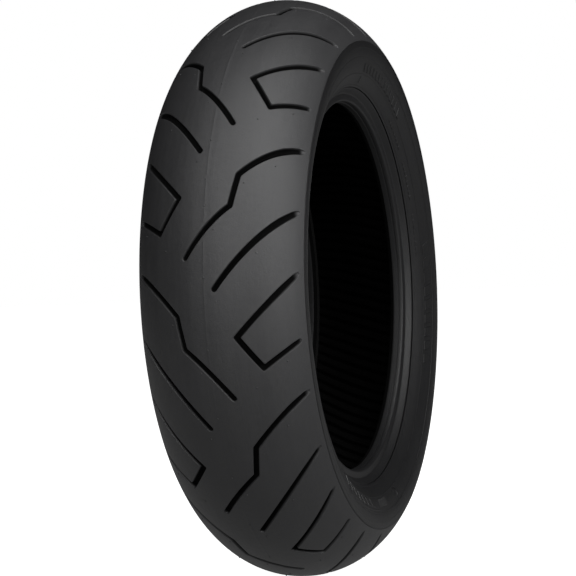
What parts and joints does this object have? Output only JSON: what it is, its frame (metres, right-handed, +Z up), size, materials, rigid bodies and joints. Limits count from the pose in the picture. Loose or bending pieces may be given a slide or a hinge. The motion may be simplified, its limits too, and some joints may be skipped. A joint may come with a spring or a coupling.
{
  "type": "motorcycle tire",
  "caption": "Unmounted tubeless motorcycle rear tyre with a round crown, angular swept grooves, plain sidewalls and steel-cored beads.",
  "frame": {"origin": "centre of the wheel: on the axis of rotation, midway between the sidewalls", "axes": "+Y along the axis of rotation, towards the right side; +Z up; -X is the rolling direction"},
  "size_m": [0.639, 0.1756, 0.639],
  "materials": {
    "tread_rubber": "matt black tread compound with a faint moulded grain",
    "side_rubber": "satin black moulded rubber",
    "liner_rubber": "black butyl with fine diagonal bladder ribs",
    "base_rubber": "matt black gum",
    "ply_fabric": "rubberised parallel cord",
    "belt_fabric": "rubberised parallel aramid cord",
    "chafer_fabric": "rubberised square-woven fabric",
    "bead_steel": "bronze-coated steel wire"
  },
  "bodies": {
    "root": {"tread_cap": "tread_rubber", "sidewall_left": "side_rubber", "sidewall_right": "side_rubber", "rim_cushion_left": "side_rubber", "rim_cushion_right": "side_rubber", "inner_liner": "liner_rubber", "tread_base": "base_rubber", "belt_outer": "belt_fabric", "belt_inner": "belt_fabric", "belt_edge_cushion_left": "base_rubber", "belt_edge_cushion_right": "base_rubber", "body_ply_outer": "ply_fabric", "body_ply_inner": "ply_fabric", "bead_core_left": "bead_steel", "bead_core_right": "bead_steel", "bead_filler_left": "base_rubber", "bead_filler_right": "base_rubber", "bead_wrap_left": "chafer_fabric", "bead_wrap_right": "chafer_fabric", "chafer_left": "chafer_fabric", "chafer_right": "chafer_fabric"}
  },
  "joints": []
}
